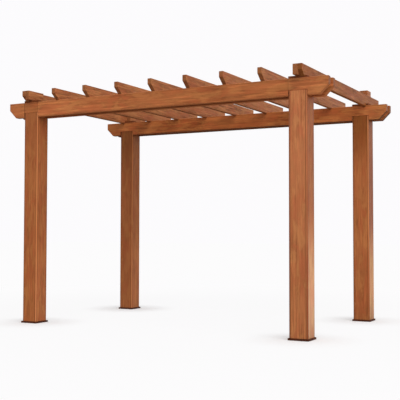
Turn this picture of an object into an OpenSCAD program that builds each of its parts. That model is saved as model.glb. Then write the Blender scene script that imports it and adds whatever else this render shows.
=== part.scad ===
// Composite pergola, in millimetres, +Z up, front towards -Y.
// Four square posts stand on base plates. A pair of beam boards sits on the shoulders
// of the two front posts and another pair on those of the two back posts, with the core
// of each post between the boards. Nine rafters run from front to back, notched over
// all four boards. A block stands beside each end rafter over each post, and the blocks
// at the back reach over the rafter.

/* [Overall] */
// Distance between post centres, left to right
post_spacing_x = 2960; // [1800:10:4200]
// Distance between post centres, front to back
post_spacing_y = 1810; // [1200:10:3600]
// Clear height under the beams
clear_height = 2130; // [1900:10:2600]

/* [Posts] */
// Width of a post, both ways
post_w = 176; // [130:1:220]
// Width of the flat bevel along a post's upright edges
post_bevel = 10; // [2:1:20]
// How far a post's shoulder stands up into the beam boards
shoulder_rise = 47; // [20:1:80]

/* [Plates] */
// Width of a base plate, both ways
base_w = 194; // [170:1:280]
// Thickness of a base plate
base_t = 18; // [6:1:30]
// Thickness of the plate that caps the boards over a post
cap_t = 19; // [6:1:30]

/* [Beams] */
// Height of a beam board
beam_h = 156; // [110:1:220]
// Thickness of a beam board
beam_t = 52; // [30:1:62]
// Length of a beam beyond the outer face of a post
beam_tail = 196; // [100:1:400]
// Cut across a beam's lower end corner, both ways
beam_cut = 84; // [20:1:100]

/* [Rafters] */
// Height of a rafter
rafter_h = 121; // [100:1:200]
// Thickness of a rafter
rafter_t = 42; // [25:1:60]
// How far a rafter is notched down over the beam boards
rafter_seat = 7; // [4:1:40]
// Length of a rafter in front of the front beam
tail_front = 62; // [20:1:400]
// Length of a rafter behind the back beam
tail_back = 300; // [90:1:500]
// Length of the slanted cut under a rafter's end
rafter_cut = 82; // [20:1:150]
// Height of the upright edge left at a rafter's end
rafter_nose = 54; // [20:1:90]
// Distance of an end rafter in from the outer faces of the posts
end_inset = 22; // [0:1:24]

/* [Blocks] */
// Thickness of the block beside an end rafter
block_t = 46; // [25:1:60]
// Height of a back block above the rafters
block_rise = 55; // [20:1:90]

/* [Fits] */
// Gap left at each side of a notch
fit_gap = 1; // [0.5:0.5:3]

/* [Hidden] */

rafter_count = 9;
cedar = [0.61, 0.36, 0.22];
cedar_light = [0.66, 0.41, 0.27];
dark = [0.10, 0.08, 0.07];

// the posts' centre is set back from the origin so that the whole stands centred on it
mid_y = (tail_front - tail_back) / 2;
post_x = post_spacing_x / 2;
post_y = post_spacing_y / 2;
beam_top = clear_height + beam_h;
cap_top = beam_top + cap_t;
rafter_bottom = beam_top - rafter_seat;
rafter_top = rafter_bottom + rafter_h;
core_d = post_w - 2 * beam_t;
beam_half = post_x + post_w / 2 + beam_tail;
end_rafter_x = post_x + post_w / 2 - end_inset - rafter_t / 2;
rafter_pitch = 2 * end_rafter_x / (rafter_count - 1);
// room cut past a face so that a cut always comes out of it
past = 5;

// Side sx is -1 on the left and 1 on the right, side sy is -1 at the front and 1 at the back.
module at_post(sx, sy) translate([sx * post_x, mid_y + sy * post_y, 0]) children();

// a block from its lowest corner to its highest
module span(a, b) translate(a) cube(b - a);

module post_outline() {
    h = post_w / 2;
    b = post_bevel;
    polygon([[b - h, -h], [h - b, -h], [h, b - h], [h, h - b],
        [h - b, h], [b - h, h], [-h, h - b], [-h, b - h]]);
}

module post(sx, sy) at_post(sx, sy) union() {
    translate([0, 0, base_t])
        linear_extrude(clear_height + shoulder_rise - base_t) post_outline();
    span([-post_w / 2, -core_d / 2, clear_height], [post_w / 2, core_d / 2, beam_top]);
}

module base_plate(sx, sy) at_post(sx, sy)
    span([-base_w / 2, -base_w / 2, 0], [base_w / 2, base_w / 2, base_t]);

module cap_plate(sx, sy) at_post(sx, sy)
    span([-post_w / 2, -post_w / 2, beam_top], [post_w / 2, post_w / 2, cap_top]);

// outer face of the board at y, body towards the inside of the pair (dir 1 or -1)
module beam(y, dir) {
    low_y = min(y, y + dir * beam_t);
    translate([0, low_y + beam_t, 0]) rotate([90, 0, 0]) linear_extrude(beam_t) difference() {
        polygon([[beam_cut - beam_half, clear_height], [beam_half - beam_cut, clear_height],
            [beam_half, clear_height + beam_cut], [beam_half, beam_top],
            [-beam_half, beam_top], [-beam_half, clear_height + beam_cut]]);
        for (sx = [-1, 1])
            translate([sx * post_x - post_w / 2 - fit_gap, clear_height - past])
                square([post_w + 2 * fit_gap, shoulder_rise + past]);
    }
}

// notch of one rafter over one board, whose lower face in y is at y
module board_notch(y)
    translate([y - fit_gap, rafter_bottom - past])
        square([beam_t + 2 * fit_gap, beam_top - rafter_bottom + past]);

module rafter(i) {
    is_end = i == 1 || i == rafter_count;
    front = mid_y - post_y - post_w / 2;
    back = mid_y + post_y + post_w / 2;
    tip_f = front - tail_front;
    tip_b = back + tail_back;
    nose_low = rafter_top - rafter_nose;
    translate([(i - 1) * rafter_pitch - end_rafter_x - rafter_t / 2, 0, 0])
        rotate([90, 0, 90]) linear_extrude(rafter_t) difference() {
            polygon([[tip_f, rafter_top], [tip_f, nose_low], [tip_f + rafter_cut, rafter_bottom],
                [tip_b - rafter_cut, rafter_bottom], [tip_b, nose_low], [tip_b, rafter_top]]);
            for (y = [front, front + post_w - beam_t, back - post_w, back - beam_t]) board_notch(y);
            if (is_end) for (y = [front, back - post_w])
                translate([y - fit_gap, rafter_bottom - past])
                    square([post_w + 2 * fit_gap, cap_top - rafter_bottom + past]);
        }
}

// a box on side sx between two distances from the middle of the beams
module on_side(sx, near, far, y0, y1, z0, z1)
    span([min(sx * near, sx * far), y0, z0], [max(sx * near, sx * far), y1, z1]);

// the square-ended block on the inner face of an end rafter, over a front post
module front_block(sx) {
    face = end_rafter_x - rafter_t / 2;
    front = mid_y - post_y - post_w / 2;
    on_side(sx, face - block_t, face, front - tail_front, front + post_w, cap_top, rafter_top);
}

// the taller block over a back post, with an arm over the rafter
module back_block(sx) union() {
    face = end_rafter_x - rafter_t / 2;
    core_front = mid_y + post_y - core_d / 2;
    back = mid_y + post_y + post_w / 2;
    top = rafter_top + block_rise;
    on_side(sx, face - block_t, face, core_front, back, cap_top, top);
    on_side(sx, face - past, face + rafter_t, core_front, back, rafter_top, top);
}

module post_front_left() color(cedar) post(-1, -1);
module post_front_right() color(cedar) post(1, -1);
module post_back_left() color(cedar) post(-1, 1);
module post_back_right() color(cedar) post(1, 1);

module base_plate_front_left() color(dark) base_plate(-1, -1);
module base_plate_front_right() color(dark) base_plate(1, -1);
module base_plate_back_left() color(dark) base_plate(-1, 1);
module base_plate_back_right() color(dark) base_plate(1, 1);

module cap_plate_front_left() color(dark) cap_plate(-1, -1);
module cap_plate_front_right() color(dark) cap_plate(1, -1);
module cap_plate_back_left() color(dark) cap_plate(-1, 1);
module cap_plate_back_right() color(dark) cap_plate(1, 1);

module front_beam_outer() color(cedar) beam(mid_y - post_y - post_w / 2, 1);
module front_beam_inner() color(cedar) beam(mid_y - post_y + post_w / 2, -1);
module back_beam_inner() color(cedar) beam(mid_y + post_y - post_w / 2, 1);
module back_beam_outer() color(cedar) beam(mid_y + post_y + post_w / 2, -1);

module rafter_1() color(cedar_light) rafter(1);
module rafter_2() color(cedar_light) rafter(2);
module rafter_3() color(cedar_light) rafter(3);
module rafter_4() color(cedar_light) rafter(4);
module rafter_5() color(cedar_light) rafter(5);
module rafter_6() color(cedar_light) rafter(6);
module rafter_7() color(cedar_light) rafter(7);
module rafter_8() color(cedar_light) rafter(8);
module rafter_9() color(cedar_light) rafter(9);

module block_front_left() color(cedar_light) front_block(-1);
module block_front_right() color(cedar_light) front_block(1);
module block_back_left() color(cedar_light) back_block(-1);
module block_back_right() color(cedar_light) back_block(1);

post_front_left();
post_front_right();
post_back_left();
post_back_right();
base_plate_front_left();
base_plate_front_right();
base_plate_back_left();
base_plate_back_right();
cap_plate_front_left();
cap_plate_front_right();
cap_plate_back_left();
cap_plate_back_right();
front_beam_outer();
front_beam_inner();
back_beam_inner();
back_beam_outer();
rafter_1();
rafter_2();
rafter_3();
rafter_4();
rafter_5();
rafter_6();
rafter_7();
rafter_8();
rafter_9();
block_front_left();
block_front_right();
block_back_left();
block_back_right();
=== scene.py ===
import math

import bpy
from mathutils import Euler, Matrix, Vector


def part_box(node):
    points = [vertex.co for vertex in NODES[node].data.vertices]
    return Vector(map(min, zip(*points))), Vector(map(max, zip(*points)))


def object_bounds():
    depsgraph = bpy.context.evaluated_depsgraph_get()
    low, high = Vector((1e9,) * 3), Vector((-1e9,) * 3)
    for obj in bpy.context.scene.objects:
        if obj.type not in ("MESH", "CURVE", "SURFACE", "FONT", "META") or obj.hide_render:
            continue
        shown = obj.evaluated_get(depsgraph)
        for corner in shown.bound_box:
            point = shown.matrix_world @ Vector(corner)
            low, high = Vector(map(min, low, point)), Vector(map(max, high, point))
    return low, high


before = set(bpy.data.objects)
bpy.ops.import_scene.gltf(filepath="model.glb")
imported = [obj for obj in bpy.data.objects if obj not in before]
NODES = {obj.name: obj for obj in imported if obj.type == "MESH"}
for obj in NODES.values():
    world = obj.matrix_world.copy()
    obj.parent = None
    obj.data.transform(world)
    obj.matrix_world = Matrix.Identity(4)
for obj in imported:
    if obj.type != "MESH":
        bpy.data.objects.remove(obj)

CAD_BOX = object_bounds()
AXES = {"X": 0, "Y": 1, "Z": 2}


# ---------------------------------------------------------------- node helpers
def new_material(name):
    mat = bpy.data.materials.new(name)
    mat.use_nodes = True
    mat.node_tree.nodes.clear()
    return mat, mat.node_tree


def node(nt, kind, props=None, **inputs):
    """A shader node; in the names of its inputs an underscore stands for a space."""
    n = nt.nodes.new("ShaderNode" + kind)
    for k, v in (props or {}).items():
        setattr(n, k, v)
    for k, v in inputs.items():
        n.inputs[k.replace("_", " ")].default_value = v
    return n


def link(nt, a, b):
    nt.links.new(a, b)


def maths(nt, op, a, b=None):
    n = node(nt, "Math", {"operation": op})
    for i, v in enumerate((a, b)):
        if v is None:
            continue
        if isinstance(v, (int, float)):
            n.inputs[i].default_value = v
        else:
            link(nt, v, n.inputs[i])
    return n.outputs[0]


def step(nt, value, low, high, to_low=0.0, to_high=1.0):
    """Smooth step from to_low, where value is low or less, to to_high."""
    n = node(nt, "MapRange", {"interpolation_type": "SMOOTHSTEP"},
             From_Min=low, From_Max=high, To_Min=to_low, To_Max=to_high)
    link(nt, value, n.inputs["Value"])
    return n.outputs["Result"]


def mix(nt, factor, a, b, how="MIX"):
    n = node(nt, "Mix", {"data_type": "RGBA", "blend_type": how})
    link(nt, factor, n.inputs["Factor"])
    for sock, v in (("A", a), ("B", b)):
        s = [i for i in n.inputs if i.name == sock and i.type == "RGBA"][0]
        if isinstance(v, tuple):
            s.default_value = v
        else:
            link(nt, v, s)
    return [o for o in n.outputs if o.type == "RGBA"][0]


def ramp(nt, value, stops):
    n = node(nt, "ValToRGB")
    link(nt, value, n.inputs["Fac"])
    els = n.color_ramp.elements
    while len(els) < len(stops):
        els.new(0.5)
    for e, (pos, col) in zip(els, stops):
        e.position = pos
        e.color = col
    return n.outputs["Color"]


def to_surface(nt, shader):
    link(nt, shader, node(nt, "OutputMaterial").inputs["Surface"])


# ---------------------------------------------------------------- colours
PLAIN = (1.0, 1.0, 1.0)


def srgb(r, g, b):
    def lin(v):
        v /= 255
        return v / 12.92 if v <= 0.04045 else ((v + 0.055) / 1.055) ** 2.4
    return (lin(r), lin(g), lin(b), 1.0)


def shade(col, k):
    """The colour made darker or paler, up to full."""
    return (min(1, col[0] * k), min(1, col[1] * k), min(1, col[2] * k), 1.0)


def tint(col, factors):
    return (col[0] * factors[0], col[1] * factors[1], col[2] * factors[2], 1.0)


# ---------------------------------------------------------------- wood-look composite
# colour factors of the arrises' painted highlight, the painted shade line next to it, the
# joints and the sawn ends
ARRIS_HIGHLIGHT, ARRIS_SHADE_LINE, JOINT_DARK, SAWN_DARK = (1.42, 1.62, 1.95), 0.46, 0.22, 0.34
# how far the painted highlight on an arris strays from its width, in metres
STRAY = 0.004
# half the width of a joint, in metres: to where it is full, and to where it ends
JOINT = (0.0010, 0.0030)
JOINT_DEPTH = 0.55
# a change that isn't faded comes over this length, in metres
SHARP = 0.001


def grain_layers(nt, pos, along_axis, seed, across_metre):
    """Noises stretched along the board: wide soft bands, streaks, blotches, fine fibres,
    short pores, large patches, and growth rings round a pith that wanders beside the
    board, which show as long arches on its faces."""
    def coords(along, across, shift):
        scale = [across] * 3
        scale[along_axis] = along
        away = (shift * 3.71 + seed * 1.93, shift * 5.13 - seed * 2.37,
                shift * 1.37 + seed * 4.11)
        m = node(nt, "Mapping", None, Scale=scale, Location=away)
        link(nt, pos, m.inputs["Vector"])
        return m.outputs["Vector"]

    def noise(along, across, shift, detail, rough, warp=0.0):
        """along and across are how many features a metre holds, and shift keeps the
        layers apart."""
        n = node(nt, "TexNoise", None, Scale=1.0, Detail=detail, Roughness=rough,
                 Distortion=warp)
        link(nt, coords(along, across, shift), n.inputs["Vector"])
        return n.outputs["Fac"]

    axis = "XYZ"[along_axis]
    rings = node(nt, "TexWave", {"wave_type": "RINGS", "rings_direction": axis,
                                 "wave_profile": "SAW"},
                 Scale=7.0, Distortion=5.5, Detail=3.0, Detail_Scale=1.3,
                 Detail_Roughness=0.55)
    link(nt, coords(0.16, 1.0, 6.0), rings.inputs["Vector"])
    wander = maths(nt, "MULTIPLY", noise(0.9, 2.0, 5.0, 2.0, 0.5), 0.25)
    return {
        "bands": noise(1.3, 11.0, 0.0, 3.0, 0.55, 0.8),
        "streaks": noise(3.4, across_metre, 1.0, 5.0, 0.6, 0.5),
        "blotch": noise(5.5, 17.0, 7.0, 3.0, 0.55, 0.6),
        "fibres": noise(9.0, 310.0, 2.0, 4.0, 0.6),
        "pores": noise(26.0, 700.0, 3.0, 2.0, 0.5),
        "patch": noise(2.2, 3.4, 4.0, 2.0, 0.5),
        "ring": maths(nt, "ADD", rings.outputs["Fac"], wander)}


def stain(nt, layers, tone, strength):
    """The board's colour from its layers."""
    # the streaks' values and how much paler or darker than the tone they are there
    streaks = ((0.36, -0.44), (0.46, -0.14), (0.54, 0.11), (0.64, 0.45))
    base = ramp(nt, layers["streaks"],
                [(at, shade(tone, 1 + k * strength)) for at, k in streaks])
    # for each layer: the values between which it comes or goes, how far it goes to its
    # colour at each of them, and that colour
    for layer, low, high, at_low, at_high, colour in (
            ("ring", 0.70, 1.15, 0.0, 0.30 * strength, shade(tone, 0.58)),
            ("bands", 0.38, 0.58, 0.36 * strength, 0.0, tint(tone, (0.76, 0.58, 0.56))),
            ("blotch", 0.50, 0.62, 0.0, 0.58, tint(tone, (1.02, 0.80, 0.86))),
            ("blotch", 0.38, 0.50, 0.58, 0.0, tint(tone, (1.16, 1.36, 1.30))),
            ("patch", 0.44, 0.62, 0.0, 0.45, tint(tone, (1.18, 1.26, 1.30))),
            ("fibres", 0.36, 0.66, 0.30, 0.0, shade(tone, 0.50)),
            ("pores", 0.60, 0.72, 0.0, 0.35, shade(tone, 0.40))):
        amount = step(nt, layers[layer], low, high, at_low, at_high)
        base = mix(nt, amount, base, colour)
    return base


def from_arris(nt, xyz, along_axis, low, high, patch):
    """Distance from the nearest long arris, in metres, made uneven by the patches."""
    inwards = []
    for i in range(3):
        if i != along_axis:
            centre, half = (low[i] + high[i]) / 2, (high[i] - low[i]) / 2
            off = maths(nt, "ABSOLUTE", maths(nt, "SUBTRACT", xyz.outputs[i], centre))
            inwards.append(maths(nt, "SUBTRACT", half, off))
    uneven = maths(nt, "MULTIPLY", maths(nt, "SUBTRACT", patch, 0.5), STRAY)
    return maths(nt, "ADD", maths(nt, "MAXIMUM", *inwards), uneven)


def board_material(name, low, high, seed, tone, axis, edge, arris_highlight_and_shade, grain, under, ends, gloss,
                   painted_light_zones=(), lengths=()):
    """Embossed wood-grain composite for a board between the corners low and high.

    seed     shifts the noises, so that no two boards are alike
    tone     base colour
    axis     the grain runs along it
    edge     width of the arrises' painted highlight, in metres
    rub      how far the arrises get a painted highlight, and how dark the painted shade line next to it is
    grain    the streaks' strength, and how many cross a metre
    under    how far the faces that look down go to which factor of the tone: painted shade,
         and painted light where the factor is above 1
    ends     how far the sawn ends go to their darker colour
    gloss    specular level
    zones    painted reflection and painted shade on the upright faces: the axis that they
         look along, the least and the most squarely that they do, the heights between
         which the change comes, and the colour factors below and above
    lengths  stretches whose colour is changed: where each starts and stops, over
             what length it fades in and out, and its colour factors. Where a stretch
             doesn't fade there is a tight joint.
    """
    mat, nt = new_material(name)
    a = AXES[axis]
    pos = node(nt, "TexCoord").outputs["Object"]
    strength, across_metre = grain
    layers = grain_layers(nt, pos, a, seed, across_metre)
    base = stain(nt, layers, tone, strength)

    xyz = node(nt, "SeparateXYZ")
    link(nt, pos, xyz.inputs[0])
    # a painted highlight along the long arrises, and a painted shade line next to it
    highlight_amount, line = arris_highlight_and_shade
    arris = from_arris(nt, xyz, a, low, high, layers["patch"])
    highlight_mask = step(nt, arris, edge * 0.75, edge * 1.05, 1.0, 0.0)
    shade_line_mask = maths(nt, "MULTIPLY", step(nt, arris, edge * 0.95, edge * 1.15),
                   step(nt, arris, edge * 1.35, edge * 2.4, 1.0, 0.0))
    base = mix(nt, maths(nt, "MULTIPLY", shade_line_mask, line), base, shade(tone, ARRIS_SHADE_LINE))
    base = mix(nt, maths(nt, "MULTIPLY", highlight_mask, highlight_amount), base, tint(tone, ARRIS_HIGHLIGHT))

    place = xyz.outputs[a]
    for start, stop, fade_in, fade_out, factors in lengths:
        inside = maths(nt, "MULTIPLY",
                       step(nt, place, start - SHARP, start + max(fade_in, SHARP)),
                       step(nt, place, stop - max(fade_out, SHARP), stop + SHARP, 1.0, 0.0))
        base = mix(nt, inside, base, factors + (1.0,), "MULTIPLY")
        for joint, fade in ((start, fade_in), (stop, fade_out)):
            if fade == 0:
                off = maths(nt, "ABSOLUTE", maths(nt, "SUBTRACT", place, joint))
                base = mix(nt, step(nt, off, *JOINT, JOINT_DEPTH, 0.0), base,
                           shade(tone, JOINT_DARK))

    # the faces that look down get painted shade, and painted light where their factor is
    # above 1; the sawn ends soak up more stain
    facing = node(nt, "SeparateXYZ")
    link(nt, node(nt, "NewGeometry").outputs["True Normal"], facing.inputs[0])
    down = step(nt, facing.outputs["Z"], -0.85, -0.35, 1.0, 0.0)
    base = mix(nt, maths(nt, "MULTIPLY", down, under[0]), base, shade(tone, under[1]))
    sawn = step(nt, maths(nt, "ABSOLUTE", facing.outputs[a]), 0.6, 0.9)
    base = mix(nt, maths(nt, "MULTIPLY", sawn, ends), base, shade(tone, SAWN_DARK))
    # painted reflection and painted shade by height on the upright faces
    for across, (least, most), bottom, top, below, above in painted_light_zones:
        turned = maths(nt, "ABSOLUTE", facing.outputs[across])
        face = step(nt, turned, least, least + 0.10)
        if most < 1:
            face = maths(nt, "MULTIPLY", face, step(nt, turned, most - 0.10, most, 1.0, 0.0))
        risen = step(nt, xyz.outputs["Z"], bottom, top)
        factors = mix(nt, risen, below + (1.0,), above + (1.0,))
        base = mix(nt, face, base, factors, "MULTIPLY")

    streaks, fibres, pores, patch = (
        layers[k] for k in ("streaks", "fibres", "pores", "patch"))
    pits = maths(nt, "MULTIPLY", step(nt, pores, 0.58, 0.70), -0.5)
    fine = maths(nt, "ADD", maths(nt, "MULTIPLY", fibres, 0.5), pits)
    bump = node(nt, "Bump", None, Strength=0.40, Distance=0.0012)
    link(nt, maths(nt, "ADD", maths(nt, "MULTIPLY", streaks, 0.8), fine),
         bump.inputs["Height"])

    rough = maths(nt, "ADD", step(nt, streaks, 0.3, 0.7, 0.46, 0.36),
                  maths(nt, "MULTIPLY", maths(nt, "SUBTRACT", patch, 0.5), 0.12))
    rough = maths(nt, "MAXIMUM", rough, maths(nt, "MULTIPLY", down, 0.9))
    p = node(nt, "BsdfPrincipled", None, Specular_IOR_Level=gloss)
    link(nt, base, p.inputs["Base Color"])
    link(nt, rough, p.inputs["Roughness"])
    link(nt, bump.outputs["Normal"], p.inputs["Normal"])
    to_surface(nt, p.outputs["BSDF"])
    return mat


def plate_material(name, seed, tone, rough_low, rough_high):
    """Painted plate: mottled dark coat, fine orange-peel bump and paler rubbed spots."""
    mat, nt = new_material(name)
    m = node(nt, "Mapping", None, Location=(seed, -seed, seed * 0.5))
    link(nt, node(nt, "TexCoord").outputs["Object"], m.inputs["Vector"])

    def noise(scale, detail, rough):
        n = node(nt, "TexNoise", None, Scale=scale, Detail=detail, Roughness=rough)
        link(nt, m.outputs["Vector"], n.inputs["Vector"])
        return n.outputs["Fac"]

    coat, peel, dust = noise(14.0, 4.0, 0.6), noise(520.0, 2.0, 0.5), noise(60.0, 6.0, 0.7)
    base = ramp(nt, coat, [(0.3, shade(tone, 0.7)), (0.7, shade(tone, 1.3))])
    base = mix(nt, step(nt, dust, 0.56, 0.72, 0.0, 0.35), base, shade(tone, 3.0))
    bump = node(nt, "Bump", None, Strength=0.25, Distance=0.0004)
    height = maths(nt, "ADD", peel, maths(nt, "MULTIPLY", dust, 0.6))
    link(nt, height, bump.inputs["Height"])
    p = node(nt, "BsdfPrincipled", None, Specular_IOR_Level=0.1)
    link(nt, base, p.inputs["Base Color"])
    link(nt, step(nt, dust, 0.3, 0.7, rough_low, rough_high), p.inputs["Roughness"])
    link(nt, bump.outputs["Normal"], p.inputs["Normal"])
    to_surface(nt, p.outputs["BSDF"])
    return mat


# ---------------------------------------------------------------- dress the CAD nodes
def put(obj, mat):
    obj.data.materials.clear()
    obj.data.materials.append(mat)


def soften(obj, width, segments):
    """Rounds the arrises a little, as extruded and sanded boards have them."""
    weld = obj.modifiers.new("weld", "WELD")
    weld.merge_threshold = 0.00002
    flat = obj.modifiers.new("flat", "DECIMATE")
    flat.decimate_type = "DISSOLVE"
    flat.angle_limit = math.radians(0.5)
    bevel = obj.modifiers.new("bevel", "BEVEL")
    bevel.width = width
    bevel.segments = segments
    bevel.limit_method = "ANGLE"
    bevel.angle_limit = math.radians(30)
    bevel.harden_normals = True
    bevel.use_clamp_overlap = True


# what board_material takes for each kind of board
POST = {"tone": srgb(170, 99, 55), "axis": "Z", "edge": 0.010, "grain": (0.80, 74.0),
        "under": (0.5, 0.16), "ends": 0.3, "gloss": 0.08}
BEAM = {"tone": srgb(174, 103, 59), "axis": "X", "edge": 0.006, "arris_highlight_and_shade": (0.15, 0.5),
        "grain": (1.10, 54.0), "ends": 0.60, "gloss": 0.08}
RAFTER = {"tone": srgb(174, 109, 67), "axis": "Y", "edge": 0.005, "arris_highlight_and_shade": (0.15, 0.5),
          "grain": (1.45, 52.0), "under": (0.25, 0.16), "ends": 0.45, "gloss": 0.05}
# tone, least and most roughness of a plate
BASE = (srgb(74, 37, 20), 0.55, 0.75)
CAP = (srgb(108, 56, 28), 0.6, 0.8)
# width in metres and segments of the rounded arrises. Twice the rafters' width stays under
# the depth of their notches, so that the rounds there don't meet.
POST_ROUND, BEAM_ROUND, RAFTER_ROUND, PLATE_ROUND = (
    (0.002, 2), (0.005, 3), (0.003, 3), (0.0015, 2))

# per-board colour factors, partly random tone and partly painted light and shade: painted
# shade darkens the back posts, painted light makes the front right post and the inner back
# board paler
TONE_AND_PAINTED_LIGHT = {"post_front_left": (1.01, 1.01, 1.0), "post_front_right": (1.13, 1.24, 1.50),
         "post_back_left": (0.89, 0.90, 0.94), "post_back_right": (0.88, 0.90, 0.95),
         "back_beam_inner": (1.16, 1.12, 1.04), "back_beam_outer": (0.90, 0.94, 1.0),
         "rafter_9": (0.76, 0.67, 0.49)}
# painted light on the front beams' faces that look down and painted shade on the back
# beams', and for the posts the arrises' painted highlight and painted shade line, as
# board_material takes them
PAINTED_UNDERSIDE = {"front": (0.9, 1.12), "back": (0.86, 0.14)}
ARRIS_HIGHLIGHT_AND_SHADE = {"post_front_left": (0.62, 0.55), "post_front_right": (0.22, 0.95),
          "post_back_left": (0.50, 0.60), "post_back_right": (0.70, 0.60)}

# the least and the most squarely that a zone's faces look along its axis
SQUARE, BEVELS, BOTH = (0.80, 2.0), (0.60, 0.90), (0.60, 2.0)
# painted reflection makes the posts' sides paler towards the foot, painted shade makes the
# bevels of the right-hand posts darker there and the heads of all but the front right post
# darker in front, and the front right post's front is paler towards its head
PAINTED_LIGHT_ZONES = {
    "post_front_left": (
        ("X", BOTH, 0.30, 0.95, (1.14, 1.20, 1.33), PLAIN),
        ("Y", SQUARE, 1.35, 2.10, (1.02, 1.04, 1.06), (0.85, 0.83, 0.86))),
    "post_front_right": (
        ("X", SQUARE, 0.45, 1.20, (1.27, 1.79, 2.32), (0.78, 0.69, 0.49)),
        ("X", BEVELS, 0.45, 1.20, (0.46, 0.32, 0.28), (0.80, 0.72, 0.72)),
        ("Y", SQUARE, 0.20, 2.00, (0.93, 0.94, 0.92), (1.09, 1.11, 1.17))),
    "post_back_left": (
        ("X", BOTH, 0.50, 1.00, (1.25, 1.33, 1.38), (1.08, 1.10, 1.03)),
        ("Y", SQUARE, 1.45, 2.10, (0.97, 0.97, 1.0), (0.70, 0.68, 0.58))),
    "post_back_right": (
        ("X", SQUARE, 0.40, 1.20, (1.46, 2.16, 2.70), (0.76, 0.62, 0.44)),
        ("X", BEVELS, 0.40, 1.20, (0.58, 0.46, 0.40), PLAIN),
        ("Y", SQUARE, 1.45, 2.10, (1.10, 1.10, 1.10), (0.67, 0.62, 0.46)))}

# the front board is joined over the posts, and it is lighter along its left half and at its
# ends but not over the left post; the right tail of the inner back board is darker, which
# keeps most of the painted light in that board's tone off it
left_post, right_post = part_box("post_front_left"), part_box("post_front_right")
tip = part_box("front_beam_outer")[1].x
past_tip = tip + 0.01
LENGTHS = {
    "front_beam_outer": (
        (-tip, left_post[0].x, 0.1, 0.0, (1.12, 1.14, 1.15)),
        (left_post[0].x, left_post[1].x, 0.0, 0.0, (0.93, 0.88, 0.86)),
        (left_post[1].x, 0.5, SHARP, 1.6, (1.20, 1.22, 1.26)),
        (right_post[0].x, past_tip, 0.0, SHARP, (1.05, 1.10, 1.16))),
    "back_beam_inner": (
        (right_post[0].x, past_tip, 0.3, SHARP, (0.84, 0.90, 0.97)),)}

for seed, (name, obj) in enumerate(sorted(NODES.items())):
    low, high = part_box(name)
    if name.startswith("post_"):
        look, rounded = dict(POST, arris_highlight_and_shade=ARRIS_HIGHLIGHT_AND_SHADE[name], painted_light_zones=PAINTED_LIGHT_ZONES[name]), POST_ROUND
    elif "beam" in name:
        look = dict(BEAM, under=PAINTED_UNDERSIDE[name.split("_")[0]], lengths=LENGTHS.get(name, ()))
        rounded = BEAM_ROUND
    elif name.startswith(("rafter_", "block_")):
        look, rounded = RAFTER, RAFTER_ROUND
    else:
        plate = BASE if name.startswith("base_plate") else CAP
        put(obj, plate_material("coat_" + name, seed, *plate))
        soften(obj, *PLATE_ROUND)
        continue
    # each board's tone takes its factors, partly random and partly painted light and shade
    look = dict(look, tone=tint(look["tone"], TONE_AND_PAINTED_LIGHT.get(name, PLAIN)))
    put(obj, board_material("grain_" + name, low, high, seed, **look))
    soften(obj, *rounded)


# ---------------------------------------------------------------- camera
# the camera's place from the middle of the posts, on the ground, and its three turns
CAMERA_OFFSET = Vector((4.1334, -7.7567, 0.929))
CAMERA_TURN = Euler((math.radians(90 + 2.273), math.radians(-0.08), math.radians(28.135)))
SENSOR, LENS = 36.0, 74.835

posts_low, posts_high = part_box("post_front_left")[0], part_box("post_back_right")[1]
middle = Vector(((posts_low.x + posts_high.x) / 2, (posts_low.y + posts_high.y) / 2, 0))
cam = bpy.data.objects.new("camera", bpy.data.cameras.new("camera"))
bpy.context.scene.collection.objects.link(cam)
cam.location = middle + CAMERA_OFFSET
cam.rotation_euler = CAMERA_TURN
cam.data.sensor_width = SENSOR
cam.data.lens = LENS
cam.data.clip_end = 200
bpy.context.scene.camera = cam


# ---------------------------------------------------------------- floor, world and lamps
BACKGROUND = (0.975, 0.967, 0.982, 1)
FLOOR_GLOW = (0.975, 0.97, 0.975, 1)
FLOOR_LOW, FLOOR_HIGH = (0.885, 0.893, 0.913, 1), (0.90, 0.909, 0.928, 1)
FLOOR_BOUNCE = (0.28, 0.275, 0.27, 1)
# the distances between which the floor's white glow rises, and its amounts there: from
# the nearest post's middle, and from the middle of the floor
FOOT_GLOW = (0.12, 0.62, 0.26, 1.0)
FAR_GLOW = (2.5, 6.0, 0.90, 1.0)
# half the floor's width, and how far it lies under the base plates, in metres
FLOOR_HALF, FLOOR_DROP = 60.0, 0.0005
DOME, DOME_STRENGTH = (1.0, 0.985, 0.97, 1), 0.68
WARM = (1.0, 0.985, 0.97)
# the key lamp's azimuth and elevation in degrees and its distance, seen from AIM
AIM = Vector((0.0, 0.0, 1.3))
KEY_PLACE, KEY_SIZE, KEY_WATTS = (42, 32, 30.0), (34.0, 34.0), 8000
# the card's distance from the object's right side, and its height over the floor
CARD_AWAY, CARD_HEIGHT = 0.8, 0.02
CARD_SIZE, CARD_WATTS = (1.3, 3.6), 20


def background_rays(nt):
    """1 for the rays that see the white background: the camera's, reflected and
    refracted ones."""
    lp = node(nt, "LightPath")
    seen = maths(nt, "MAXIMUM", lp.outputs["Is Camera Ray"], lp.outputs["Is Glossy Ray"])
    return maths(nt, "MAXIMUM", seen, lp.outputs["Is Transmission Ray"])


def pick(nt, factor, first, second):
    """The first shader where factor is 0 and the second where it is 1."""
    n = node(nt, "MixShader")
    for socket, source in zip(n.inputs, (factor, first, second)):
        link(nt, source, socket)
    return n.outputs[0]


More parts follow.
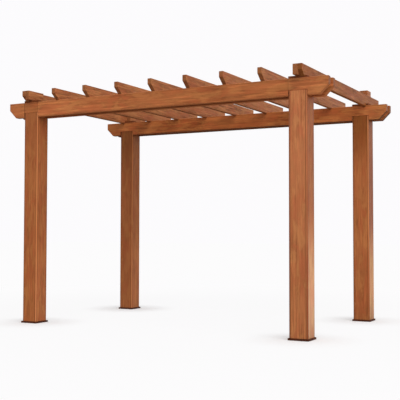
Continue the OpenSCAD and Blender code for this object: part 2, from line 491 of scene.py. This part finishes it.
def from_foot(nt, xyz):
    """Distance on the floor from the middle of the nearest post."""
    foot_low, foot_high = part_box("post_front_right")[0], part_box("post_back_right")[1]
    half_y = (foot_high.y - foot_low.y) / 2
    width = foot_high.x - foot_low.x
    off_x = maths(nt, "SUBTRACT", maths(nt, "ABSOLUTE", xyz.outputs["X"]),
                  (foot_low.x + foot_high.x) / 2)
    from_middle = maths(nt, "SUBTRACT", xyz.outputs["Y"], foot_low.y + half_y)
    off_y = maths(nt, "SUBTRACT", maths(nt, "ABSOLUTE", from_middle), half_y - width / 2)
    return maths(nt, "SQRT", maths(nt, "ADD", maths(nt, "MULTIPLY", off_x, off_x),
                                   maths(nt, "MULTIPLY", off_y, off_y)))


def floor_material():
    """Pale floor that keeps the object's shadow and glows white for background rays, less
    so near the feet."""
    mat, nt = new_material("floor")
    pos = node(nt, "TexCoord").outputs["Object"]
    grain = node(nt, "TexNoise", None, Scale=3.0, Detail=3.0)
    link(nt, pos, grain.inputs["Vector"])
    seen = ramp(nt, grain.outputs["Fac"], [(0.3, FLOOR_LOW), (0.7, FLOOR_HIGH)])
    diffuse = node(nt, "BsdfDiffuse")
    link(nt, seen, diffuse.inputs["Color"])
    glow = node(nt, "Emission", None, Color=FLOOR_GLOW, Strength=1.0)
    distance = node(nt, "VectorMath", {"operation": "LENGTH"})
    link(nt, pos, distance.inputs[0])
    xyz = node(nt, "SeparateXYZ")
    link(nt, pos, xyz.inputs[0])
    amount = maths(nt, "MULTIPLY", step(nt, distance.outputs["Value"], *FAR_GLOW),
                   step(nt, from_foot(nt, xyz), *FOOT_GLOW))
    shown = pick(nt, amount, diffuse.outputs[0], glow.outputs[0])
    bounce = node(nt, "BsdfDiffuse", None, Color=FLOOR_BOUNCE)
    to_surface(nt, pick(nt, background_rays(nt), bounce.outputs[0], shown))
    return mat


def make_floor():
    s = FLOOR_HALF
    mesh = bpy.data.meshes.new("floor")
    mesh.from_pydata([(-s, -s, 0), (s, -s, 0), (s, s, 0), (-s, s, 0)], [], [(0, 1, 2, 3)])
    floor = bpy.data.objects.new("floor", mesh)
    bpy.context.scene.collection.objects.link(floor)
    floor.location.z = CAD_BOX[0].z - FLOOR_DROP
    mesh.materials.append(floor_material())


def make_world():
    world = bpy.data.worlds.new("studio")
    bpy.context.scene.world = world
    world.use_nodes = True
    nt = world.node_tree
    nt.nodes.clear()
    white = node(nt, "Background", None, Color=BACKGROUND, Strength=1.0)
    dome = node(nt, "Background", None, Color=DOME, Strength=DOME_STRENGTH)
    shown = pick(nt, background_rays(nt), dome.outputs[0], white.outputs[0])
    link(nt, shown, node(nt, "OutputWorld").inputs["Surface"])


def lamp(name, place, target, size, watts, shown=True):
    data = bpy.data.lights.new(name, "AREA")
    data.shape = "RECTANGLE"
    data.size, data.size_y = size
    data.energy = watts
    data.color = WARM
    obj = bpy.data.objects.new(name, data)
    bpy.context.scene.collection.objects.link(obj)
    obj.visible_camera = shown
    obj.location = place
    obj.rotation_euler = (target - place).to_track_quat("-Z", "Y").to_euler()


def toward(azimuth, elevation, distance):
    """A point seen from AIM at that azimuth, turned from -Y towards +X, and elevation."""
    a, e = math.radians(azimuth), math.radians(elevation)
    flat = math.cos(e)
    return AIM + distance * Vector((math.sin(a) * flat, -math.cos(a) * flat, math.sin(e)))


make_floor()
make_world()
lamp("key", toward(*KEY_PLACE), AIM, KEY_SIZE, KEY_WATTS)
# a card lying on the floor to the right lifts the feet of the right-hand posts
card = Vector((CAD_BOX[1].x + CARD_AWAY, middle.y, CAD_BOX[0].z + CARD_HEIGHT))
lamp("card", card, card + Vector((0, 0.001, 1)), CARD_SIZE, CARD_WATTS, shown=False)

bpy.context.scene.view_settings.view_transform = "Standard"
